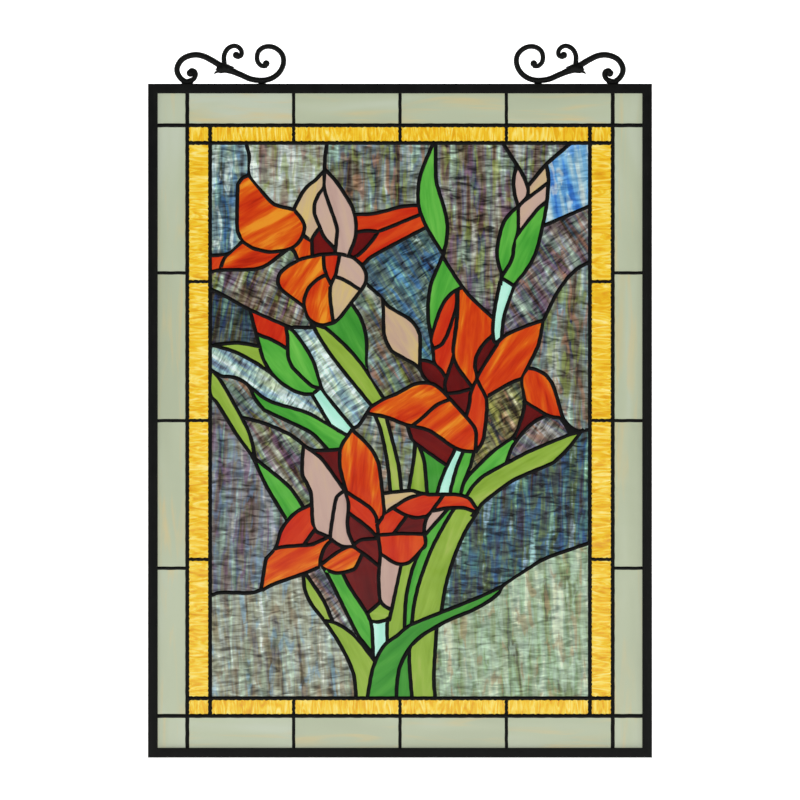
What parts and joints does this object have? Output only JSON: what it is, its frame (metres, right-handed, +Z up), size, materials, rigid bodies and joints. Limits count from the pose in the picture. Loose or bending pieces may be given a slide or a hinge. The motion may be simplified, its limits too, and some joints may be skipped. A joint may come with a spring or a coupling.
{
  "type": "hanging stained glass panel",
  "caption": "Upright rectangular leaded glass panel of lilies in a slim black metal frame, with a scroll hanger near each end of its top edge.",
  "frame": {"origin": "midway between the two scroll hangers, at the height where their hooks carry the panel, in the middle of its thickness", "axes": "+X to the viewer's right, +Y into the panel away from the viewer, +Z up"},
  "size_m": [0.457, 0.0094, 0.6479],
  "materials": {
    "black_metal": "satin black",
    "dark_lead": "blackened lead and solder, slightly glossy",
    "orange_glass": "streaky opalescent glass, glossy",
    "red_glass": "streaky opalescent glass, glossy",
    "cream_glass": "streaky opalescent glass, glossy",
    "green_glass": "streaky opalescent glass, glossy",
    "dark_green_glass": "streaky opalescent glass, glossy",
    "lime_glass": "streaky opalescent glass, glossy",
    "water_glass": "streaky opalescent glass, glossy",
    "meadow_glass": "streaky opalescent glass, glossy",
    "brook_glass": "streaky opalescent glass, glossy",
    "ivory_glass": "streaky opalescent glass, glossy",
    "amber_glass": "streaky opalescent glass, glossy"
  },
  "bodies": {
    "root": {"amber_bottom": "amber_glass", "amber_bottom_left": "amber_glass", "amber_bottom_right": "amber_glass", "amber_left": "amber_glass", "amber_right": "amber_glass", "amber_top": "amber_glass", "amber_top_left": "amber_glass", "amber_top_right": "amber_glass", "background_bottom_left": "water_glass", "background_bottom_right": "meadow_glass", "background_left": "brook_glass", "background_lower_right": "water_glass", "bottom_great_leaf": "dark_green_glass", "bottom_lily_cream_petal": "cream_glass", "bottom_lily_cup": "red_glass", "bottom_lily_left_petal": "orange_glass", "bottom_lily_tall_petal": "orange_glass", "bottom_tall_leaf": "lime_glass", "centre_low_leaf": "green_glass", "centre_tall_leaf": "green_glass", "frame": "black_metal", "hanger_left": "black_metal", "hanger_right": "black_metal", "ivory_bottom": "ivory_glass", "ivory_bottom_left": "ivory_glass", "ivory_bottom_right": "ivory_glass", "ivory_left": "ivory_glass", "ivory_right": "ivory_glass", "ivory_top": "ivory_glass", "ivory_top_left": "ivory_glass", "ivory_top_right": "ivory_glass", "lead_web": "dark_lead", "left_blade_leaf": "lime_glass", "left_bud": "red_glass", "left_bud_inner_leaf": "green_glass", "left_bud_leaf": "green_glass", "left_fan_leaf": "dark_green_glass", "left_lance_leaf": "lime_glass", "left_long_leaf": "green_glass", "left_lower_leaf": "green_glass", "right_bud_leaf": "green_glass", "right_bud_outer_leaf": "green_glass", "right_lily_bell": "cream_glass", "right_lily_big_petal": "orange_glass", "right_lily_lower_petal": "orange_glass", "right_lily_orange_petal": "orange_glass", "right_lily_right_petal": "orange_glass", "right_lily_side_bloom": "orange_glass", "right_long_leaf": "lime_glass", "upper_lily_cream_petal": "cream_glass", "upper_lily_inner_petal": "cream_glass", "upper_lily_lip": "orange_glass", "upper_lily_lip_ball": "orange_glass", "upper_lily_lip_cream": "cream_glass", "upper_lily_lip_pink": "cream_glass", "upper_lily_lower_band": "red_glass", "upper_lily_petal": "orange_glass", "upper_lily_pink_petal": "cream_glass", "upper_lily_red_band": "red_glass", "upper_lily_sepal": "orange_glass"}
  },
  "joints": []
}
